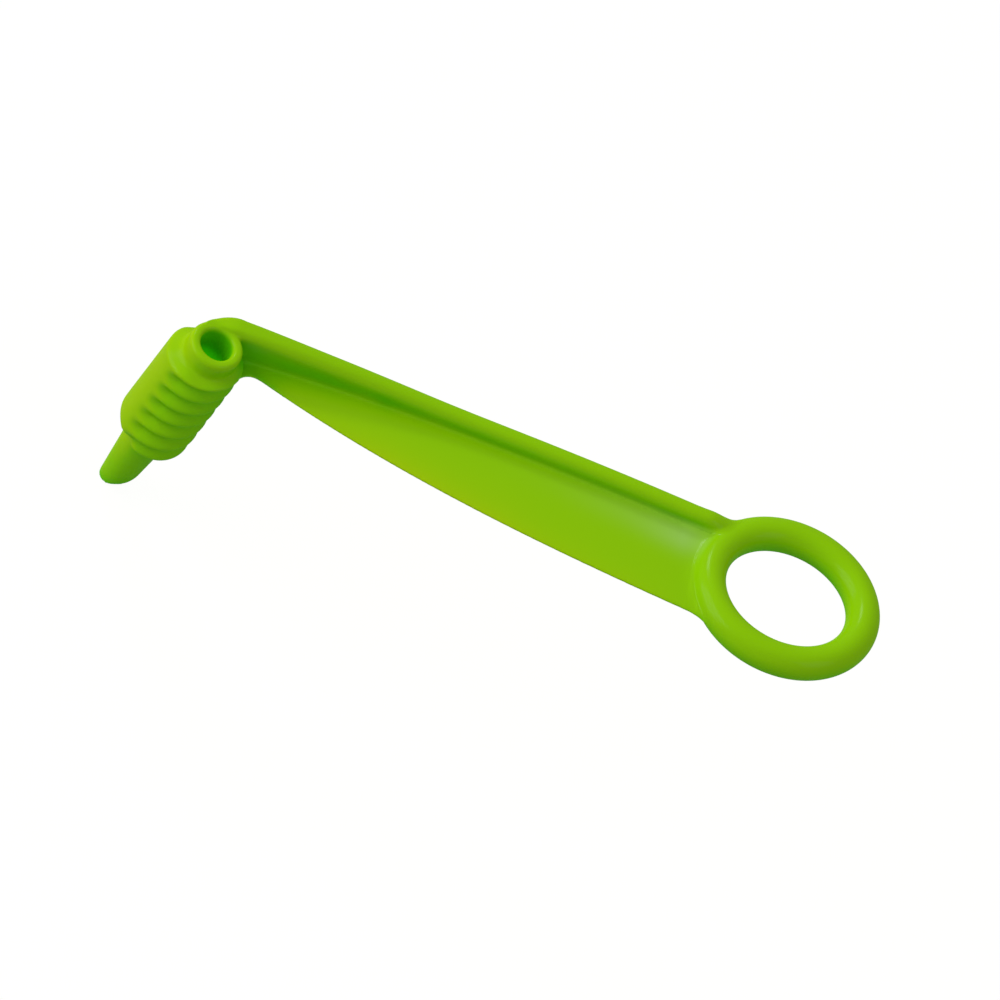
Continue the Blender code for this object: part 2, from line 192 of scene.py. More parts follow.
class CutterSizes(bpy.types.PropertyGroup):
    """Sizes of the cutter's sections"""

    collar_radius: length("Collar radius", "Outer radius of the bore's collar", 0.0037)
    collar_rounding: length("Collar rounding", "Rounding of the collar's outer rim", 0.0006)
    mouth_offset: length("Mouth offset", "Distance of the collar and the bore from the axis", 0.0002)
    bore_radius: length("Bore radius", "Radius of the bore in the hub", 0.00226)
    mouth_rounding: length("Mouth rounding", "Rounding of the bore's mouth", 0.0006)
    core_radius: length("Core radius", "Radius of the feed screw between its threads", 0.0044)
    crest_radius: length("Crest radius", "Radius over the thread", 0.00524)
    thread_pitch: length("Thread pitch", "Rise of the thread for one turn", 0.003)
    thread_start: angle("Thread start", "Angle at which the thread leaves the shoulder", 13)
    thread_run_in: length("Thread run-in", "Depth over which the thread grows at the shoulder", 0.0009)
    thread_end: length("Thread end", "Depth at which the thread has faded out", 0.0199)
    thread_run_out: length("Thread run-out", "Depth over which the thread fades at the nose", 0.0014)
    nose_lift: length("Nose lift", "How far the nose ends higher on one side", 0.0018)
    nose_length: length("Nose length", "Height of the screw's round nose", 0.003)
    pin_root_radius: length("Pin root radius", "Radius of the pilot pin at the nose", 0.00295)
    pin_tip_radius: length("Pin tip radius", "Radius of the pilot pin at its tip", 0.00225)
    tip_slant: angle("Tip slant", "Slant of the pin's tip face", 39)
    tip_turn: angle("Tip turn", "Turn of the pin's tip face about the hub's axis", 13.6)
    arm_start_drop: length("Arm start drop", "Depth of the arm's plane below the shoulder", 0.0027)
    arm_climb: angle("Arm climb", "Climb of the arm away from the hub", 5.86)
    hub_to_ring: length("Hub to ring", "Distance from the hub's axis to the ring's centre", 0.08235)
    ring_mean_radius: length("Ring mean radius", "Radius of the ring's centre line", 0.01064)
    ring_tube_radius: length("Ring tube radius", "Radius of the ring's round section", 0.002256)
    ring_tip: angle("Ring tip", "Tip of the ring about the arm's length", 5)
    wing_thickness: length("Wing thickness", "Thickness of the wing's plate", 0.0011)
    wing_edge_thickness: length("Wing edge thickness", "Thickness of the wing's front edge", 0.0003)
    wing_bevel_width: length("Wing bevel width", "Width of the bevel along the wing's front edge", 0.0012)
    wing_flare_radius: length("Wing flare radius", "Radius where the wing's edge runs into the ring", 0.006)
    wing_root_radius: length("Wing root radius", "Radius where the wing's edge runs into the hub", 0.0022)
    rib_hub_width: length("Rib hub width", "Width of the rib at the hub", 0.0029)
    rib_ring_width: length("Rib ring width", "Width of the rib at the ring", 0.0025)
    rib_rise: length("Rib rise", "Height of the rib over the arm's plane", 0.00262)
    rib_depth: length("Rib depth", "Depth of the rib under the arm's plane", 0.0023)
    rib_bend_softness: length("Rib bend softness", "Softness of the bend in the rib's top", 0.00035)
    rib_flare_radius: length("Rib flare radius", "Radius where the rib's back runs into the ring", 0.008)
    rib_run_down: length("Rib run-down", "Length over which the rib runs down into the ring", 0.0045)
    rib_tuck: length("Rib tuck", "How deep the rib's end lies inside the ring", 0.0003)
    rib_step: length("Rib step", "How far the rib's top rises over the collar's rim", 0.00055)
    rib_step_start: length("Rib step start", "Distance before the hub's axis at which the rise begins", 0.001)
    rib_step_run: length("Rib step run", "Length of the rise", 0.004)
    rib_hub_rounding: length("Rib hub rounding", "Rounding of the rib's top edges at the hub", 0.0009)
    rib_rounding_run: length("Rib rounding run", "Length over which the top edges become fully round", 0.016)
    rib_wrap_start: length("Rib wrap start", "Distance from the hub's axis at which the wrap starts", 0.0035)
    rib_wrap_length: length("Rib wrap length", "Length of the rib's wrap round the collar", 0.00558)
    rib_wrap_depth: length("Rib wrap depth", "How far the rib's back draws in along the wrap", 0.0049)
    grain: length("Skin grain", "Size of the squares in the joined skin", 0.00016)
    coarse_grain: length("Coarse grain", "Size of the squares in the skin for the light", 0.0005)
    thin_reach: length("Thin reach", "Distance over which the thin look fades behind the edge", 0.00275)
    # Where the painted sheen lies beside the rib, and how wide it is
    painted_sheen_width: length("Haze width", "Distance of the haze from the rib's foot, and its width", 0.0022)


class CutterColours(bpy.types.PropertyGroup):
    """Colours of the plastic and of the stage"""

    plastic: colour("Plastic", "Green of the moulding in the light", (0.24, 0.53, 0.001))
    # Yellower green towards the thin edge of the wing, and painted light on the screw's left side, which
    # faces the lamps
    thin_plastic: colour("Thin plastic", "Yellower green where the moulding is thin", (0.31, 0.53, 0.001))
    # Painted shade: a deeper green where less light reaches
    shaded_plastic: colour("Shaded plastic", "Deeper green where less light reaches", (0.09, 0.49, 0.001))
    # Painted shade: the bore's green, where almost no light reaches
    deep_plastic: colour("Deep plastic", "Green down the bore", (0.04, 0.60, 0.003))
    # Painted sheen: a paler green that stands in for the lamps' reflection on the plate beside the rib
    sheen_plastic: colour("Sheen plastic", "Paler green of the haze beside the rib", (0.31, 0.57, 0.11))
    # Painted glow: an emission that lights the bore, though the plastic is no lamp
    glow: colour("Glow", "Light that comes through the wall into the bore", (0.018, 0.18, 0.0))
    floor: colour("Floor", "Colour of the floor", (0.55, 0.55, 0.55))
    background: colour("Background", "Colour behind the object", (1.0, 1.0, 0.985))


def sizes():
    return bpy.context.scene.cutter_sizes


def arm_plane():
    """Place of the plane that the arm lies in: its origin is on the hub's axis, and it climbs to the ring."""
    start = Matrix.Translation((0, 0, SHOULDER_HEIGHT - sizes().arm_start_drop))
    return start @ Matrix.Rotation(-sizes().arm_climb, 4, "Y")


def ring_plane():
    """Place of the plane that the ring lies in, tipped a little about the arm's length."""
    along = Matrix.Translation((sizes().hub_to_ring, 0, 0))
    return arm_plane() @ along @ Matrix.Rotation(-sizes().ring_tip, 4, "X")


def smooth_step(value):
    """0 below 0, 1 above 1, and a soft S between them."""
    value = min(max(value, 0.0), 1.0)
    return value * value * (3 - 2 * value)


def curve_point(guide, share):
    """The point at a share from 0 to 1 of the cubic Bezier curve with these four guide points."""
    rest = 1 - share
    weights = (rest**3, 3 * rest**2 * share, 3 * rest * share**2, share**3)
    return tuple(sum(weight * point[axis] for weight, point in zip(weights, guide)) for axis in (0, 1))


def curve_side(guide, along):
    """How far sideways a curve with these guide points lies at a distance along the arm."""
    low, high = 0.0, 1.0
    for _ in range(CURVE_HALVINGS):
        middle = (low + high) / 2
        if curve_point(guide, middle)[0] < along:
            low = middle
        else:
            high = middle
    return curve_point(guide, low)[1]


def select_only(*objects):
    """Leaves edit mode and selects these objects alone, with the first one active."""
    if bpy.context.object and bpy.context.object.mode != "OBJECT":
        bpy.ops.object.mode_set(mode="OBJECT")
    bpy.ops.object.select_all(action="DESELECT")
    for thing in objects:
        thing.select_set(True)
    if objects:
        bpy.context.view_layer.objects.active = objects[0]


def apply_modifier(piece, kind, **settings):
    """Adds a modifier with these settings to a piece and applies it."""
    select_only(piece)
    modifier = piece.modifiers.new(kind.lower(), kind)
    for key, value in settings.items():
        setattr(modifier, key, value)
    bpy.ops.object.modifier_apply(modifier=modifier.name)


def place_selected(piece, points):
    """Moves the selected corners of the piece, in their order, to these points."""
    bm = bmesh.from_edit_mesh(piece.data)
    picked = [corner for corner in bm.verts if corner.select]
    for corner, point in zip(picked, points, strict=True):
        corner.co = point
    bmesh.update_edit_mesh(piece.data)


def extrude_rings(name, rings):
    """A closed solid: a disc, extruded from ring to ring and shaped at each of them."""
    select_only()
    bpy.ops.mesh.primitive_circle_add(vertices=len(rings[0]), radius=0.001, fill_type="NGON")
    piece = bpy.context.object
    piece.name = piece.data.name = name
    bpy.ops.object.mode_set(mode="EDIT")
    bpy.ops.mesh.select_all(action="SELECT")
    place_selected(piece, rings[0])
    for ring in rings[1:]:
        bpy.ops.mesh.extrude_region_move()
        place_selected(piece, ring)
    bpy.ops.mesh.select_all(action="SELECT")
    bpy.ops.mesh.normals_make_consistent(inside=False)
    bpy.ops.object.mode_set(mode="OBJECT")
    return piece


def turned_ring(radius_at, height):
    """A ring about the hub's axis. radius_at gives the radius for an angle."""
    points = []
    for step in range(HUB_STEPS):
        turn = 2 * math.pi * step / HUB_STEPS
        points.append((radius_at(turn) * math.cos(turn), radius_at(turn) * math.sin(turn), height))
    return points


def round_ring(radius, height):
    return turned_ring(lambda turn: radius, height)


def cut(piece, cutter, operation="DIFFERENCE"):
    """Cuts a piece with a cutter, which is removed."""
    apply_modifier(piece, "BOOLEAN", object=cutter, operation=operation, solver="EXACT")
    bpy.data.objects.remove(cutter, do_unlink=True)


def mouth_place():
    """The collar and the bore sit a little towards the arm."""
    return Matrix.Rotation(WING_SIDE[0], 4, "Z") @ Matrix.Translation((sizes().mouth_offset, 0, 0))


def bore_cutter():
    """A rod for the bore, which opens like a trumpet at the collar's rim."""
    own = sizes()
    profile = [(own.bore_radius, NOSE_HEIGHT - own.core_radius)]
    for step in range(ROUNDING_STEPS + 1):
        turn = math.pi / 2 * step / ROUNDING_STEPS
        radius = own.bore_radius + own.mouth_rounding * (1 - math.cos(turn))
        profile.append((radius, RIM_HEIGHT - own.mouth_rounding * (1 - math.sin(turn))))
    profile.append((own.bore_radius + own.mouth_rounding, RIM_HEIGHT + own.core_radius))
    rod = extrude_rings("bore", [round_ring(radius, height) for radius, height in profile])
    rod.data.transform(mouth_place())
    return rod


class CUTTER_OT_hub_collar(bpy.types.Operator):
    """Models the smooth collar round the bore's mouth"""

    bl_idname = "cutter.hub_collar"
    bl_label = "Hub collar"

    def execute(self, context):
        own = sizes()
        rings = [round_ring(own.collar_radius, SHOULDER_HEIGHT - own.arm_start_drop)]
        for step in range(ROUNDING_STEPS + 1):
            turn = math.pi / 2 * step / ROUNDING_STEPS
            radius = own.collar_radius - own.collar_rounding * (1 - math.cos(turn))
            rings.append(round_ring(radius, RIM_HEIGHT - own.collar_rounding * (1 - math.sin(turn))))
        collar = extrude_rings("hub_collar_form", rings)
        collar.data.transform(mouth_place())
        cut(collar, bore_cutter())
        return {"FINISHED"}


def side_share(turn, side):
    """1 where a side of the hub is full, and 0 beyond its end."""
    middle, full, end = side
    away = abs((turn - middle + math.pi) % (2 * math.pi) - math.pi)
    return smooth_step((end - away) / (end - full))


def screw_radius(turn, depth):
    """Outer radius of the feed screw at an angle and a depth below its shoulder."""
    own = sizes()
    screw_length = SHOULDER_HEIGHT - NOSE_HEIGHT
    far_side = side_share(turn, FAR_SIDE)
    lifted = side_share(turn, LIFTED_SIDE)
    by_wing = side_share(turn, WING_SIDE)
    nose_end = screw_length - own.nose_lift * lifted
    nose_length = own.nose_length - own.nose_lift * lifted / 2
    nose_start = nose_end - nose_length
    run_in = smooth_step(depth / (own.thread_run_in * (1 + FAR_RUN_IN * far_side - WING_RUN_IN * by_wing)))
    turns = depth / own.thread_pitch + (turn - own.thread_start) / (2 * math.pi)
    wave = 0.5 + 0.5 * math.cos(2 * math.pi * turns)
    wave += (1 - wave) * far_side
    crest_depth = depth - (turns - round(turns)) * own.thread_pitch
    run_out = smooth_step((own.thread_end - own.nose_lift * lifted - crest_depth) / own.thread_run_out)
    core = own.collar_radius + (own.core_radius - own.collar_radius) * run_in
    outer = core + (own.crest_radius - own.core_radius) * wave * run_in * run_out
    if depth > nose_start:
        share = min((depth - nose_start) / nose_length, 1.0)
        outer = own.pin_root_radius + (outer - own.pin_root_radius) * math.sqrt(1 - share * share)
    return outer


class CUTTER_OT_feed_screw(bpy.types.Operator):
    """Models the feed screw, whose thread runs in at the shoulder and out at the nose"""

    bl_idname = "cutter.feed_screw"
    bl_label = "Feed screw"

    def execute(self, context):
        rings = []
        for row in range(THREAD_ROWS + 1):
            depth = (SHOULDER_HEIGHT - NOSE_HEIGHT) * row / THREAD_ROWS
            rings.append(turned_ring(lambda turn: screw_radius(turn, depth), SHOULDER_HEIGHT - depth))
        screw = extrude_rings("feed_screw_form", rings)
        cut(screw, bore_cutter())
        return {"FINISHED"}


class CUTTER_OT_pilot_pin(bpy.types.Operator):
    """Models the tapered pilot pin and its slanted tip"""

    bl_idname = "cutter.pilot_pin"
    bl_label = "Pilot pin"

    def execute(self, context):
        own = sizes()
        overrun = 2 * own.pin_tip_radius * math.tan(own.tip_slant)
        narrowing = (own.pin_root_radius - own.pin_tip_radius) / NOSE_HEIGHT
        rings = [
            round_ring(own.pin_root_radius, NOSE_HEIGHT + own.core_radius),
            round_ring(own.pin_root_radius, NOSE_HEIGHT),
            round_ring(own.pin_tip_radius - narrowing * overrun, -overrun),
        ]
        extrude_rings("pilot_pin_form", rings)
        normal = Matrix.Rotation(own.tip_turn, 3, "Z") @ Vector(
            (math.sin(own.tip_slant), 0, -math.cos(own.tip_slant))
        )
        bpy.ops.object.mode_set(mode="EDIT")
        bpy.ops.mesh.select_all(action="SELECT")
        bpy.ops.mesh.bisect(
            plane_co=(0, 0, 0), plane_no=normal, use_fill=True, clear_outer=True, threshold=1e-7
        )
        bpy.ops.object.mode_set(mode="OBJECT")
        return {"FINISHED"}


class CUTTER_OT_finger_ring(bpy.types.Operator):
    """Models the round-section finger ring"""

    bl_idname = "cutter.finger_ring"
    bl_label = "Finger ring"

    def execute(self, context):
        own = sizes()
        select_only()
        bpy.ops.mesh.primitive_torus_add(
            major_segments=RING_STEPS,
            minor_segments=TUBE_STEPS,
            major_radius=own.ring_mean_radius,
            minor_radius=own.ring_tube_radius,
        )
        ring = bpy.context.object
        ring.name = ring.data.name = "finger_ring_form"
        ring.data.transform(ring_plane())
        return {"FINISHED"}


def hollow_corner(circle_centre, circle_radius, edge_point, edge_direction, corner_radius, side):
    """Centre of the arc that rounds the hollow corner between a circle and a straight edge.

    The edge's direction leads away from the circle. The corner lies on the right of it if side is 1, and on
    the left if side is -1.
    """
    direction = Vector(edge_direction).normalized()
    across = Vector((direction.y, -direction.x)) * side
    start = Vector(edge_point) + corner_radius * across - Vector(circle_centre)
    beside = start.dot(direction)
    spare = (circle_radius + corner_radius) ** 2 - start.dot(start) + beside**2
    return Vector(circle_centre) + start + direction * (math.sqrt(spare) - beside)


def arc_points(centre, radius, start, end, steps):
    """Points of an arc about a centre, both ends included."""
    turns = [start + (end - start) * step / steps for step in range(steps + 1)]
    return [(centre[0] + radius * math.cos(turn), centre[1] + radius * math.sin(turn)) for turn in turns]


def ring_outer_radius():
    """Radius of the ring's outer edge, seen square on."""
    return sizes().ring_mean_radius + sizes().ring_tube_radius


def rib_sides(along):
    """Front and back of the rib. Its back wraps round the collar and flares out where it meets the ring."""
    own = sizes()
    share = min(max(along / own.hub_to_ring, 0.0), 1.0)
    half = (own.rib_hub_width + (own.rib_ring_width - own.rib_hub_width) * share) / 2
    front = curve_side(RIB_LINE_GUIDE, along) - half
    back = curve_side(RIB_LINE_GUIDE, max(along, own.rib_wrap_start)) + half
    outer = ring_outer_radius()
    corner = hollow_corner((own.hub_to_ring, 0), outer, (along, back), (-1, 0), own.rib_flare_radius, 1)
    flare_length = (own.hub_to_ring - corner.x) * own.rib_flare_radius / (own.rib_flare_radius + outer)
    into_flare = min(max(along - corner.x, 0.0), flare_length)
    flare = own.rib_flare_radius - math.sqrt(own.rib_flare_radius**2 - into_flare**2)
    into_wrap = min(max(own.rib_wrap_start - along, 0.0) / own.rib_wrap_length, 1.0)
    wrap = own.rib_wrap_depth * (1 - math.sqrt(1 - into_wrap**2))
    return front, back + flare - wrap


def rib_end():
    """Distance along the arm at which the rib's middle line meets the ring's centre line."""
    return sizes().hub_to_ring - math.sqrt(sizes().ring_mean_radius**2 - RIB_LINE_GUIDE[3][1] ** 2)


def rib_end_share(along):
    """0 along the arm, and 1 where the rib has run down into the ring."""
    return smooth_step((along - rib_end()) / sizes().rib_run_down + 1)


def rib_top(along):
    """Height of the rib over the arm's plane: level with the collar's rim, a small step over it, then along
    the wing, then down into the ring."""
    own = sizes()
    top = RIM_HEIGHT + own.rib_step * smooth_step((along + own.rib_step_start) / own.rib_step_run)
    level = (top - arm_plane().translation.z) / math.cos(own.arm_climb) - along * math.tan(own.arm_climb)
    softened = math.hypot((level - own.rib_rise) / 2, own.rib_bend_softness)
    height = (level + own.rib_rise) / 2 + softened
    tucked = own.ring_tube_radius - own.rib_tuck - curve_side(RIB_LINE_GUIDE, along) * math.sin(own.ring_tip)
    return height + (tucked - height) * rib_end_share(along)


def rib_section(along):
    """A closed outline across the rib: an upright bar whose four long edges are rounded."""
    own = sizes()
    front, back = rib_sides(along)
    tuck = own.rib_tuck * rib_end_share(along)
    back -= tuck
    top, bottom = rib_top(along), tuck - own.rib_depth
    below = RIB_ROUNDNESS * min(back - front, top - bottom) / 2
    above = own.rib_hub_rounding + (below - own.rib_hub_rounding) * smooth_step(along / own.rib_rounding_run)
    above = min(above, below)
    corners = (
        (back - above, top - above, above),
        (front + above, top - above, above),
        (front + below, bottom + below, below),
        (back - below, bottom + below, below),
    )
    points = []
    for quarter, (side, height, rounding) in enumerate(corners):
        start = math.pi / 2 * quarter
        arc = arc_points((side, height), rounding, start, start + math.pi / 2, RIB_CORNER_STEPS)
        points += [(along, *point) for point in arc]
    return points


def rib_stations():
    """Distances along the arm of the rib's sections: close together in the wrap, then even to the ring."""
    own = sizes()
    start = own.rib_wrap_start
    too_thin, wrap_end = start - own.rib_wrap_length, start
    for _ in range(CURVE_HALVINGS):
        middle = (too_thin + wrap_end) / 2
        front, back = rib_sides(middle)
        if back - front > own.grain:
            wrap_end = middle
        else:
            too_thin = middle
    stations = [wrap_end + (start - wrap_end) * step / RIB_WRAP_STEPS for step in range(RIB_WRAP_STEPS)]
    for step in range(RIB_STATIONS + 1):
        stations.append(start + (rib_end() - start) * step / RIB_STATIONS)
    return stations


class CUTTER_OT_arm_rib(bpy.types.Operator):
    """Models the stiff rib along the back of the arm"""

    bl_idname = "cutter.arm_rib"
    bl_label = "Arm rib"

    def execute(self, context):
        rib = extrude_rings("arm_rib_form", [rib_section(along) for along in rib_stations()])
        rib.data.transform(arm_plane())
        cut(rib, bore_cutter())
        return {"FINISHED"}


def wing_outline(bevel):
    """The wing seen square on, with its front edge drawn in by the width of its bevel. Its other sides lie
    inside the rib, the ring and the hub."""
    own = sizes()
    ring = Vector((own.hub_to_ring, 0))
    edge = [Vector(point) for point in WING_EDGE_GUIDE]
    root = hollow_corner((0, 0), own.crest_radius, edge[0], edge[1] - edge[0], own.wing_root_radius, 1)
    flare = hollow_corner(ring, ring_outer_radius(), edge[3], edge[2] - edge[3], own.wing_flare_radius, -1)
    root_edge = math.pi / 2 + math.atan2(edge[1].y - edge[0].y, edge[1].x - edge[0].x)
    flare_edge = math.pi / 2 + math.atan2(edge[3].y - edge[2].y, edge[3].x - edge[2].x)
    flare_end = math.atan2(-flare.y, own.hub_to_ring - flare.x)

    def bevel_at(along, side):
        return min(bevel, (rib_sides(along)[0] - side) / 2)

    root_reach = own.wing_root_radius + bevel_at(root.x, root.y + own.wing_root_radius)
    root_start = math.atan2(-root.y, -root.x) % (2 * math.pi)
    points = arc_points(root, root_reach, root_start, root_edge, FLARE_STEPS)
    for step in range(WING_EDGE_STEPS + 1):
        along, side = curve_point(WING_EDGE_GUIDE, step / WING_EDGE_STEPS)
        if root.x + own.wing_root_radius * math.cos(root_edge) < along < flare.x:
            points.append((along, side + bevel_at(along, side)))
    points += arc_points(flare, own.wing_flare_radius + bevel, flare_edge, flare_end, FLARE_STEPS)
    rib_middle = curve_side(RIB_LINE_GUIDE, own.hub_to_ring - own.ring_mean_radius)
    ring_back = math.pi - math.asin(rib_middle / own.ring_mean_radius)
    points += arc_points(ring, own.ring_mean_radius, math.pi + flare_end, ring_back, WING_EDGE_STEPS // 2)
    ring_along = points[-1][0]
    hub_along = edge[0].x
    for step in range(1, WING_EDGE_STEPS + 1):
        along = ring_along + (hub_along - ring_along) * step / WING_EDGE_STEPS
        points.append((along, curve_side(RIB_LINE_GUIDE, along)))
    return points


class CUTTER_OT_cutting_wing(bpy.types.Operator):
    """Models the thin wing and its bevelled front edge"""

    bl_idname = "cutter.cutting_wing"
    bl_label = "Cutting wing"

    def execute(self, context):
        own = sizes()
        layers = (
            (-own.wing_thickness / 2, own.wing_bevel_width),
            (own.wing_thickness / 2 - own.wing_edge_thickness, 0.0),
            (own.wing_thickness / 2, 0.0),
        )
        rings = []
        for height, bevel in layers:
            rings.append([(along, side, height) for along, side in wing_outline(bevel)])
        extrude_rings("cutting_wing_form", rings).data.transform(arm_plane())
        return {"FINISHED"}


def add_object(name, data):
    """A new object in the scene, with this mesh, lamp or camera."""
    thing = bpy.data.objects.new(name, data)
    bpy.context.scene.collection.objects.link(thing)
    return thing


def joined_copy(forms, name):
    """One object that holds a copy of every form."""
    select_only(*[add_object(form.name + "_copy", form.data.copy()) for form in forms])
    bpy.ops.object.join()
    joined = bpy.context.object
    joined.name = joined.data.name = name
    return joined


def corner_places(skin):
    """Places of all corners, one row each."""
    places = np.empty(len(skin.data.vertices) * 3, np.float32)
    skin.data.vertices.foreach_get("co", places)
    return places.reshape(-1, 3).astype(float)


def corner_normals(skin):
    """Outward directions at all corners, one row each."""
    normals = np.empty(len(skin.data.vertices) * 3, np.float32)
    skin.data.vertex_normals.foreach_get("vector", normals)
    return normals.reshape(-1, 3).astype(float)


def soften_joint(skin, first, second, reach, rounds):
    """Rounds the hollow corner between two forms. The skin is smoothed where it is near both, and only what
    this fills is kept, so that the forms themselves don't shrink."""
    everything = list(range(len(skin.data.vertices)))
    for form in (first, second):
        group = skin.vertex_groups.new(name=form)
        group.add(everything, 1.0, "REPLACE")
        apply_modifier(
            skin,
            "VERTEX_WEIGHT_PROXIMITY",
            vertex_group=form,
            target=bpy.data.objects[form + "_form"],
            proximity_mode="GEOMETRY",
            proximity_geometry={"FACE"},
            falloff_type="SMOOTH",
            min_dist=reach,
            max_dist=0.0,
        )
    apply_modifier(
        skin, "VERTEX_WEIGHT_MIX", vertex_group_a=first, vertex_group_b=second, mix_mode="MUL", mix_set="ALL"
    )
    before, normals = corner_places(skin), corner_normals(skin)
    apply_modifier(skin, "SMOOTH", factor=0.5, iterations=rounds, vertex_group=first)
    step = corner_places(skin) - before
    outward = (step * normals).sum(axis=1)
    blunt = sizes().grain / 2
    kept = (outward + np.sqrt(outward**2 + blunt**2) - blunt) / 2
    moved = before + normals * np.maximum(kept, 0)[:, None]
    skin.data.vertices.foreach_set("co", moved.astype(np.float32).ravel())
    skin.data.update()
    skin.vertex_groups.clear()


class CUTTER_OT_join_sections(bpy.types.Operator):
    """Joins the six forms into one skin, softens its inner corners, and parts it into the sections"""

    bl_idname = "cutter.join_sections"
    bl_label = "Join sections"

    def execute(self, context):
        forms = [bpy.data.objects[name + "_form"] for name in SECTIONS]
        mould = joined_copy(forms, "mould")
        skin = joined_copy(forms, "skin")
        apply_modifier(skin, "REMESH", mode="VOXEL", voxel_size=sizes().grain, adaptivity=0.0)
        if not skin.data.polygons:
            raise RuntimeError("the joined skin has no faces")
        apply_modifier(skin, "SHRINKWRAP", target=mould, wrap_method="NEAREST_SURFACEPOINT")
        for first, second, reach, rounds in JOINTS:
            soften_joint(skin, first, second, reach, rounds)
        apply_modifier(skin, "SMOOTH", factor=0.5, iterations=SKIN_SMOOTHING)
        coarse = light_reach(skin)
        self.part_skin(skin)
        for name in SECTIONS:
            mark_painted_light(bpy.data.objects[name + "_look"], coarse)
        for thing in (coarse, mould, *forms):
            bpy.data.objects.remove(thing, do_unlink=True)
        return {"FINISHED"}

    def part_skin(self, skin):
        """Cuts the skin along planes that cross it squarely, and along the foot of the rib."""

        def hub_line(side):
            return ((HUB_CUT_REACH - HUB_CUT_NORMAL.y * side) / HUB_CUT_NORMAL.x, side)

        foot = []
        for step in range(FOOT_STEPS):
            along = RING_CUT * step / (FOOT_STEPS - 1)
            side = rib_sides(along)[0] - FOOT_INSET
            if HUB_CUT_NORMAL.dot((along, side)) > HUB_CUT_REACH:
                foot.append((along, side))
        foot.insert(0, hub_line(foot[0][1]))
        far = FAR_OUT
        by_hub = [hub_line(-far), hub_line(far), (-far, far), (-far, -far)]
        by_ring = [(RING_CUT, -far), (far, -far), (far, far), (RING_CUT, far)]
        outlines = {
            "hub_collar": (by_hub, SHOULDER_HEIGHT, far),
            "feed_screw": (by_hub, NOSE_HEIGHT, SHOULDER_HEIGHT),
            "pilot_pin": (by_hub, -far, NOSE_HEIGHT),
            "arm_rib": ([*foot, (RING_CUT, far), hub_line(far)], -far, far),
            "cutting_wing": ([*foot, (RING_CUT, -far), hub_line(-far)], -far, far),
            "finger_ring": (by_ring, -far, far),
        }
        for name, (corners, low, high) in outlines.items():
            piece = add_object(name + "_look", skin.data.copy())
            region = extrude_rings(name + "_region", [[(x, y, z) for x, y in corners] for z in (low, high)])
            apply_modifier(piece, "BOOLEAN", object=region, operation="INTERSECT", solver="MANIFOLD")
            bpy.data.objects.remove(region, do_unlink=True)
            if not piece.data.polygons:
                raise RuntimeError(name + " has no faces after the parting")
        bpy.data.objects.remove(skin, do_unlink=True)


def light_reach(skin):
    """A coarse copy of the skin whose colour attribute says how much light reaches each corner."""
    coarse = add_object("coarse", skin.data.copy())
    apply_modifier(coarse, "REMESH", mode="VOXEL", voxel_size=sizes().coarse_grain, adaptivity=0.0)
    places, normals = corner_places(coarse), corner_normals(coarse)
    walls = BVHTree.FromPolygons(places.tolist(), [tuple(face.vertices) for face in coarse.data.polygons])
    number = np.arange(RAYS)
    slant = np.sqrt((number + 0.5) / RAYS)
    lift = np.sqrt(1 - slant**2)
    reached = np.zeros(len(places))
    for corner, (place, normal) in enumerate(zip(places, normals)):
        turn = RAY_TURN * (number + corner)
        side = np.cross(normal, (0.0, 0.0, 1.0) if abs(normal[2]) < 0.9 else (1.0, 0.0, 0.0))
        side /= np.linalg.norm(side)
        other = np.cross(normal, side)
        rays = np.outer(slant * np.cos(turn), side) + np.outer(slant * np.sin(turn), other)
        rays += np.outer(lift, normal)
        start = Vector(place + normal * sizes().coarse_grain / 2)
        strength = EVEN_LIGHT + SIDE_LIGHT * rays @ np.array(LIGHT_SIDE)
        for ray, share in zip(rays, strength):
            if walls.ray_cast(start, Vector(ray), RAY_REACH)[0] is None:
                reached[corner] += share
    reached = smoothed(coarse, reached / RAYS)
    layer = coarse.data.color_attributes.new("reach", "FLOAT_COLOR", "POINT")
    colours = np.repeat(np.clip(reached, 0, 1)[:, None], 4, axis=1)
    layer.data.foreach_set("color", colours.astype(np.float32).ravel())
    return coarse


def smoothed(skin, values):
    """The corners' values, evened out with those of their neighbours."""
    pairs = np.empty(len(skin.data.edges) * 2, np.int32)
    skin.data.edges.foreach_get("vertices", pairs)
    first, second = pairs.reshape(-1, 2).T
    for _ in range(LIGHT_SMOOTHING):
        total = values.copy()
        count = np.ones(len(values))
        np.add.at(total, first, values[second])
        np.add.at(total, second, values[first])
        np.add.at(count, first, 1)
        np.add.at(count, second, 1)
        values = total / count
    return values


def lack_of_light(piece, coarse):
    """How little light reaches each corner of a piece, taken over from the coarse skin."""
    piece.data.color_attributes.new("reach", "FLOAT_COLOR", "POINT")
    apply_modifier(
        piece,
        "DATA_TRANSFER",
        object=coarse,
        use_vert_data=True,
        data_types_verts={"COLOR_VERTEX"},
        vert_mapping="POLYINTERP_NEAREST",
        layers_vcol_vert_select_src="ALL",
        layers_vcol_vert_select_dst="NAME",
    )
    reach = np.empty(len(piece.data.vertices) * 4, np.float32)
    piece.data.color_attributes["reach"].data.foreach_get("color", reach)
    piece.data.color_attributes.remove(piece.data.color_attributes["reach"])
    return 1 - reach.reshape(-1, 4)[:, 0]


def ramp(value, start, end):
    """0 before the start, 1 after the end, and even in between."""
    return np.clip((value - start) / (end - start), 0, 1)


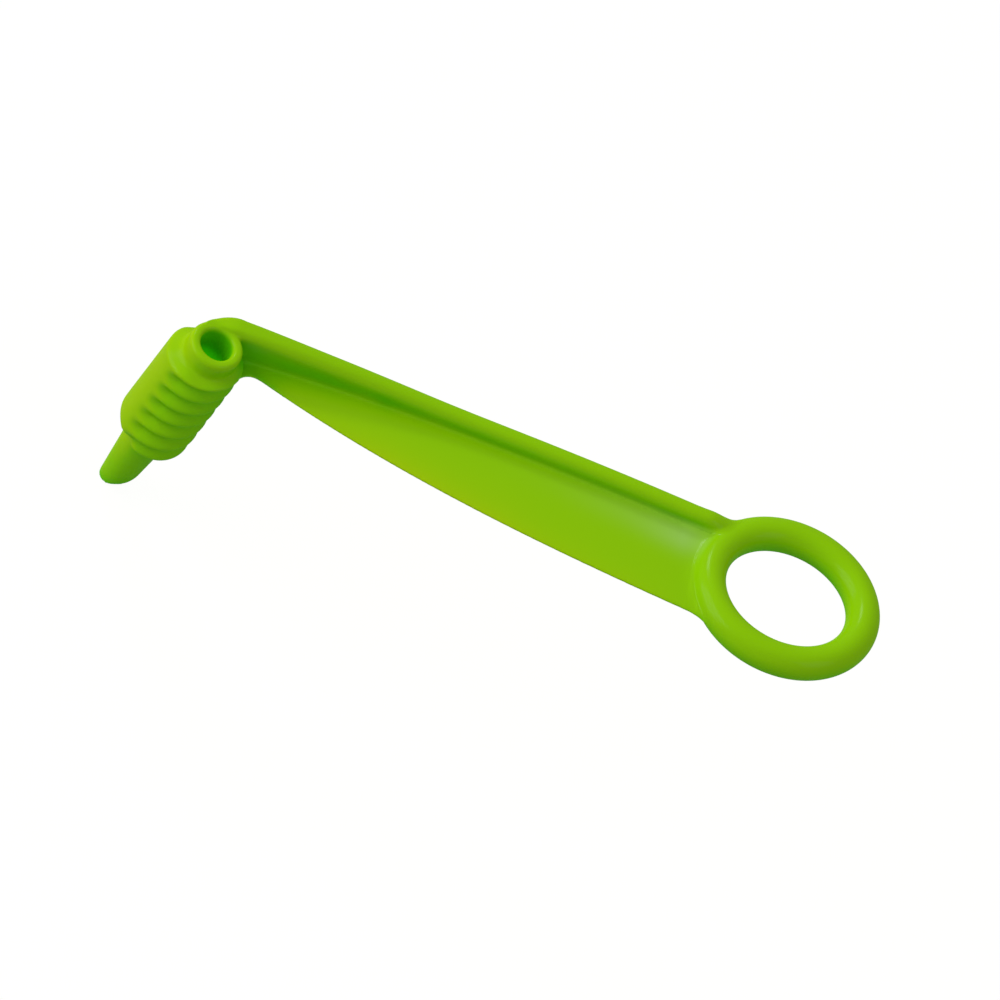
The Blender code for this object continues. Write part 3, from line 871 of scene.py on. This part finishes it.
def mark_painted_light(piece, coarse):
    """Stores on the mesh, at each corner, the share of painted shade, of the thin and painted-lit look, and
    of the painted sheen.
    """
    own = sizes()
    places = corner_places(piece)
    inverse = np.array(arm_plane().inverted())
    along, side, height = (places @ inverse[:3, :3].T + inverse[:3, 3]).T
    stations = np.linspace(0, own.hub_to_ring, MARK_STATIONS)
    edge = np.interp(along, stations, [curve_side(WING_EDGE_GUIDE, station) for station in stations])
    foot = np.interp(along, stations, [rib_sides(station)[0] for station in stations])
    ahead = along / (own.hub_to_ring - own.ring_mean_radius)
    on_plate = ramp(abs(height) / own.wing_thickness, *PLATE_FADES)

    # The wing is yellower towards its thin front edge, and the screw's left side, which faces the lamps, gets
    # painted light
    thin_and_lit = np.exp(-np.clip(side - edge, 0, None) / own.thin_reach)
    thin_and_lit *= ramp(ahead, *THIN_GROWS) * ramp(ahead, *THIN_FADES) * on_plate
    left = np.array((math.cos(LIFTED_SIDE[0]), math.sin(LIFTED_SIDE[0]), 0))
    out = np.hypot(*places[:, :2].T)
    by_hub = ramp(out / own.crest_radius, *HUB_FADES) * ramp(out / own.bore_radius, *BORE_CLEAR)
    thin_and_lit = np.maximum(thin_and_lit, PAINTED_LIT_SIDE * ramp(corner_normals(piece) @ left, *FACES_LEFT) * by_hub)

    # A painted sheen lies on the plate beside the rib and grows towards the ring
    painted_sheen = np.exp(-(((foot - side) / own.painted_sheen_width - 1) ** 2)) * ramp(ahead, *PAINTED_SHEEN_FADES) * on_plate
    painted_sheen *= np.clip(PAINTED_SHEEN_STRENGTH * np.clip(ahead, 0, 1) ** PAINTED_SHEEN_GROWTH, 0, 1)

    # Painted shade where little light reaches, lessened where the look is thin or painted lit
    deep = lack_of_light(piece, coarse) * (1 - THIN_LIGHT * thin_and_lit)
    for name, values in (("deep", deep), ("thin_and_lit", thin_and_lit), ("painted_sheen", painted_sheen)):
        layer = piece.data.attributes.new(name, "FLOAT", "POINT")
        layer.data.foreach_set("value", values.astype(np.float32))


def moulded_surface_group():
    """Colour, glow, roughness and height of a moulded skin. The colour carries painted shade, painted light
    and a painted sheen, and the glow is painted light in the bore.
    """
    group = bpy.data.node_groups.new("moulded_surface", "ShaderNodeTree")
    for name in PLASTIC_COLOURS:
        group.interface.new_socket(name, in_out="INPUT", socket_type="NodeSocketColor")
    for name in (*PAINTED_LIGHT_MARKS, "Roughness"):
        group.interface.new_socket(name, in_out="INPUT", socket_type="NodeSocketFloat")
    for name in ("Colour", "Glow"):
        group.interface.new_socket(name, in_out="OUTPUT", socket_type="NodeSocketColor")
    for name in ("Roughness", "Height"):
        group.interface.new_socket(name, in_out="OUTPUT", socket_type="NodeSocketFloat")
    nodes, links = group.nodes, group.links
    given = nodes.new("NodeGroupInput")
    result = nodes.new("NodeGroupOutput")
    place = nodes.new("ShaderNodeTexCoord")

    def noise(scale, detail):
        texture = nodes.new("ShaderNodeTexNoise")
        texture.inputs["Scale"].default_value = scale
        texture.inputs["Detail"].default_value = detail
        links.new(place.outputs["Object"], texture.inputs["Vector"])
        return texture.outputs["Fac"]

    def remap(value, start, end, low, high):
        mapped = nodes.new("ShaderNodeMapRange")
        mapped.interpolation_type = "SMOOTHSTEP"
        for socket, number in zip(("From Min", "From Max", "To Min", "To Max"), (start, end, low, high)):
            mapped.inputs[socket].default_value = number
        links.new(value, mapped.inputs["Value"])
        return mapped.outputs["Result"]

    def swing(texture, low, high):
        return remap(texture, *TEXTURE_RANGE, low, high)

    def blend(first, second, share):
        mix = nodes.new("ShaderNodeMix")
        mix.data_type = "RGBA"
        links.new(share, mix.inputs["Factor"])
        links.new(first, mix.inputs["A"])
        links.new(second, mix.inputs["B"])
        return mix.outputs["Result"]

    def maths(operation, first, second):
        node = nodes.new("ShaderNodeMath")
        node.operation = operation
        for socket, value in zip(node.inputs, (first, second)):
            if isinstance(value, float):
                socket.default_value = value
            else:
                links.new(value, socket)
        return node.outputs[0]

    flow, speckle = noise(*FLOW), noise(*SPECKLE)
    # Thin and painted-lit look: a yellower green
    thin_and_lit = maths("MULTIPLY", given.outputs["Thin_and_lit"], swing(flow, 0.85, 1.15))
    base = blend(given.outputs["Plastic"], given.outputs["Thin plastic"], thin_and_lit)
    # Painted shade: the green turns deeper where less light reaches, and to the bore's green where almost
    # none does
    uneven = maths("ADD", given.outputs["Deep"], swing(flow, -0.02, 0.02))
    base = blend(base, given.outputs["Shaded plastic"], remap(uneven, *SHADE, 0.0, 1.0))
    inside = remap(uneven, *BORE_SHADE, 0.0, 1.0)
    base = blend(base, given.outputs["Deep plastic"], inside)
    # Painted glow in the bore
    unlit = nodes.new("ShaderNodeRGB")
    unlit.outputs[0].default_value = (0, 0, 0, 1)
    links.new(blend(unlit.outputs[0], given.outputs["Glow"], inside), result.inputs["Glow"])
    # Painted sheen beside the rib
    painted_sheen = maths("MULTIPLY", given.outputs["Painted_sheen"], swing(flow, 0.8, 1.0))
    links.new(blend(base, given.outputs["Sheen plastic"], painted_sheen), result.inputs["Colour"])
    worn = maths("ADD", swing(flow, -0.03, 0.03), swing(speckle, -0.02, 0.02))
    links.new(maths("ADD", given.outputs["Roughness"], worn), result.inputs["Roughness"])
    links.new(maths("ADD", flow, maths("MULTIPLY", speckle, 0.06)), result.inputs["Height"])
    return group


def plastic_material(name, group):
    """Glossy green plastic, yellower where the section is thin, with painted light, painted shade where
    little light reaches it, a painted sheen and a painted glow.
    """
    looks = bpy.context.scene.cutter_colours
    material = bpy.data.materials.new(name + "_plastic")
    material.use_nodes = True
    nodes, links = material.node_tree.nodes, material.node_tree.links
    shader = nodes["Principled BSDF"]
    surface = nodes.new("ShaderNodeGroup")
    surface.node_tree = group
    for socket in PLASTIC_COLOURS:
        surface.inputs[socket].default_value = (*getattr(looks, socket.lower().replace(" ", "_")), 1)
    surface.inputs["Roughness"].default_value = 0.32
    for mark in PAINTED_LIGHT_MARKS:
        mask = nodes.new("ShaderNodeAttribute")
        mask.attribute_name = mark.lower()
        links.new(mask.outputs["Fac"], surface.inputs[mark])
    bump = nodes.new("ShaderNodeBump")
    bump.inputs["Strength"].default_value = 0.25
    bump.inputs["Distance"].default_value = 0.00005
    links.new(surface.outputs["Colour"], shader.inputs["Base Color"])
    # The glow is painted light: an emission in the bore
    links.new(surface.outputs["Glow"], shader.inputs["Emission Color"])
    links.new(surface.outputs["Roughness"], shader.inputs["Roughness"])
    links.new(surface.outputs["Height"], bump.inputs["Height"])
    links.new(bump.outputs["Normal"], shader.inputs["Normal"])
    shader.inputs["Emission Strength"].default_value = 1.0
    # The coat gives all the gloss. A reflection under it would turn the full green bluish at the sides.
    shader.inputs["Specular IOR Level"].default_value = 0.0
    shader.inputs["Coat Weight"].default_value = 0.12
    shader.inputs["Coat Roughness"].default_value = 0.2
    return material


class CUTTER_OT_finish_plastic(bpy.types.Operator):
    """Gives each section its plastic and puts it in the place of its CAD node"""

    bl_idname = "cutter.finish_plastic"
    bl_label = "Finish plastic"

    def execute(self, context):
        group = moulded_surface_group()
        for name in SECTIONS:
            piece = bpy.data.objects[name + "_look"]
            piece.data.materials.clear()
            piece.data.materials.append(plastic_material(name, group))
            select_only(piece)
            bpy.ops.object.shade_smooth_by_angle(angle=math.radians(40), keep_sharp_edges=False)
            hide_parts(name)
            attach(piece, "root")
        return {"FINISHED"}


class CUTTER_OT_set_stage(bpy.types.Operator):
    """Sets the pale floor, the soft lights and the camera"""

    bl_idname = "cutter.set_stage"
    bl_label = "Stage"

    def execute(self, context):
        self.add_floor()
        self.add_lights()
        self.add_camera()
        context.scene.view_settings.view_transform = "Standard"
        return {"FINISHED"}

    def add_floor(self):
        """A pale floor. The camera sees it nearly white, with the object's soft shadow."""
        looks = bpy.context.scene.cutter_colours
        select_only()
        bpy.ops.mesh.primitive_plane_add(size=6.0, location=(0, 0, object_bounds()[0].z))
        floor = bpy.context.object
        floor.name = "floor"
        material = bpy.data.materials.new("pale_floor")
        material.use_nodes = True
        nodes, links = material.node_tree.nodes, material.node_tree.links
        shader = nodes["Principled BSDF"]
        shader.inputs["Base Color"].default_value = (*looks.floor, 1)
        shader.inputs["Roughness"].default_value = 0.8
        shader.inputs["Specular IOR Level"].default_value = 0.1
        glow = nodes.new("ShaderNodeEmission")
        glow.inputs["Color"].default_value = (*looks.background, 1)
        glow.inputs["Strength"].default_value = 1.07
        ray = nodes.new("ShaderNodeLightPath")
        share = nodes.new("ShaderNodeMath")
        share.operation = "MULTIPLY"
        share.inputs[1].default_value = 0.9
        links.new(ray.outputs["Is Camera Ray"], share.inputs[0])
        mix = nodes.new("ShaderNodeMixShader")
        links.new(share.outputs[0], mix.inputs["Fac"])
        links.new(shader.outputs["BSDF"], mix.inputs[1])
        links.new(glow.outputs["Emission"], mix.inputs[2])
        links.new(mix.outputs["Shader"], nodes["Material Output"].inputs["Surface"])
        floor.data.materials.append(material)
        floor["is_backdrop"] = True

    def add_lights(self):
        """An even white room with three soft lamps. The camera sees the background in its place."""
        looks = bpy.context.scene.cutter_colours
        world = bpy.data.worlds.new("studio")
        world.use_nodes = True
        nodes, links = world.node_tree.nodes, world.node_tree.links
        room = nodes["Background"]
        room.inputs["Color"].default_value = (1, 1, 1, 1)
        room.inputs["Strength"].default_value = 0.5
        backdrop = nodes.new("ShaderNodeBackground")
        backdrop.inputs["Color"].default_value = (*looks.background, 1)
        ray = nodes.new("ShaderNodeLightPath")
        mix = nodes.new("ShaderNodeMixShader")
        links.new(ray.outputs["Is Camera Ray"], mix.inputs["Fac"])
        links.new(room.outputs["Background"], mix.inputs[1])
        links.new(backdrop.outputs["Background"], mix.inputs[2])
        links.new(mix.outputs["Shader"], nodes["World Output"].inputs["Surface"])
        bpy.context.scene.world = world
        for name, place, width, power in (
            ("left softbox", (-1.035, -0.06, 0.524), 0.9, 8.8),
            ("back softbox", (-0.495, 0.84, 0.68), 0.22, 2.6),
            ("right softbox", (0.8, -0.35, 0.9), 0.6, 1.5),
        ):
            lamp = bpy.data.lights.new(name, "AREA")
            lamp.energy = power
            lamp.size = width
            holder = add_object(name, lamp)
            holder.location = place
            aim = LIT_POINT - Vector(place)
            holder.rotation_euler = aim.to_track_quat("-Z", "Y").to_euler()

    def add_camera(self):
        """The photograph's camera, as worked out from the outlines of the hub and the ring in it."""
        right = Vector((0.88657, 0.2252, 0.40408))
        down = Vector((0.4223, -0.75056, -0.50825))
        depth = Vector((0.18882, 0.62125, -0.76053))
        centre = Vector((-0.036764, -0.020139, 3.0))
        place = -(right * centre.x + down * centre.y + depth * centre.z)
        place.z += FIT_HEIGHT
        turn = Matrix((right, -down, -depth)).transposed()
        lens = bpy.data.cameras.new("photo_camera")
        lens.sensor_width = 36.0
        lens.lens = 834.3
        camera = add_object("photo_camera", lens)
        camera.matrix_world = Matrix.Translation(place) @ turn.to_4x4()
        bpy.context.scene.camera = camera


STEPS = (
    CUTTER_OT_hub_collar,
    CUTTER_OT_feed_screw,
    CUTTER_OT_pilot_pin,
    CUTTER_OT_finger_ring,
    CUTTER_OT_arm_rib,
    CUTTER_OT_cutting_wing,
    CUTTER_OT_join_sections,
    CUTTER_OT_finish_plastic,
    CUTTER_OT_set_stage,
)


class CUTTER_PT_panel(bpy.types.Panel):
    """Shows the sizes, the colours and the steps"""

    bl_idname = "CUTTER_PT_panel"
    bl_label = "Spiral cutter"
    bl_space_type = "VIEW_3D"
    bl_region_type = "UI"
    bl_category = "Spiral cutter"

    def draw(self, context):
        for group in (context.scene.cutter_sizes, context.scene.cutter_colours):
            for name in group.bl_rna.properties.keys():
                if name not in ("rna_type", "name"):
                    self.layout.prop(group, name)
        for step in STEPS:
            self.layout.operator(step.bl_idname)


CLASSES = (CutterSizes, CutterColours, *STEPS, CUTTER_PT_panel)


def register():
    for kind in CLASSES:
        bpy.utils.register_class(kind)
    bpy.types.Scene.cutter_sizes = bpy.props.PointerProperty(type=CutterSizes)
    bpy.types.Scene.cutter_colours = bpy.props.PointerProperty(type=CutterColours)


def unregister():
    del bpy.types.Scene.cutter_colours
    del bpy.types.Scene.cutter_sizes
    for kind in reversed(CLASSES):
        bpy.utils.unregister_class(kind)


def main():
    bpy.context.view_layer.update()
    register()
    for step in STEPS:
        getattr(bpy.ops.cutter, step.bl_idname.split(".")[1])()


if __name__ == "__main__":
    main()
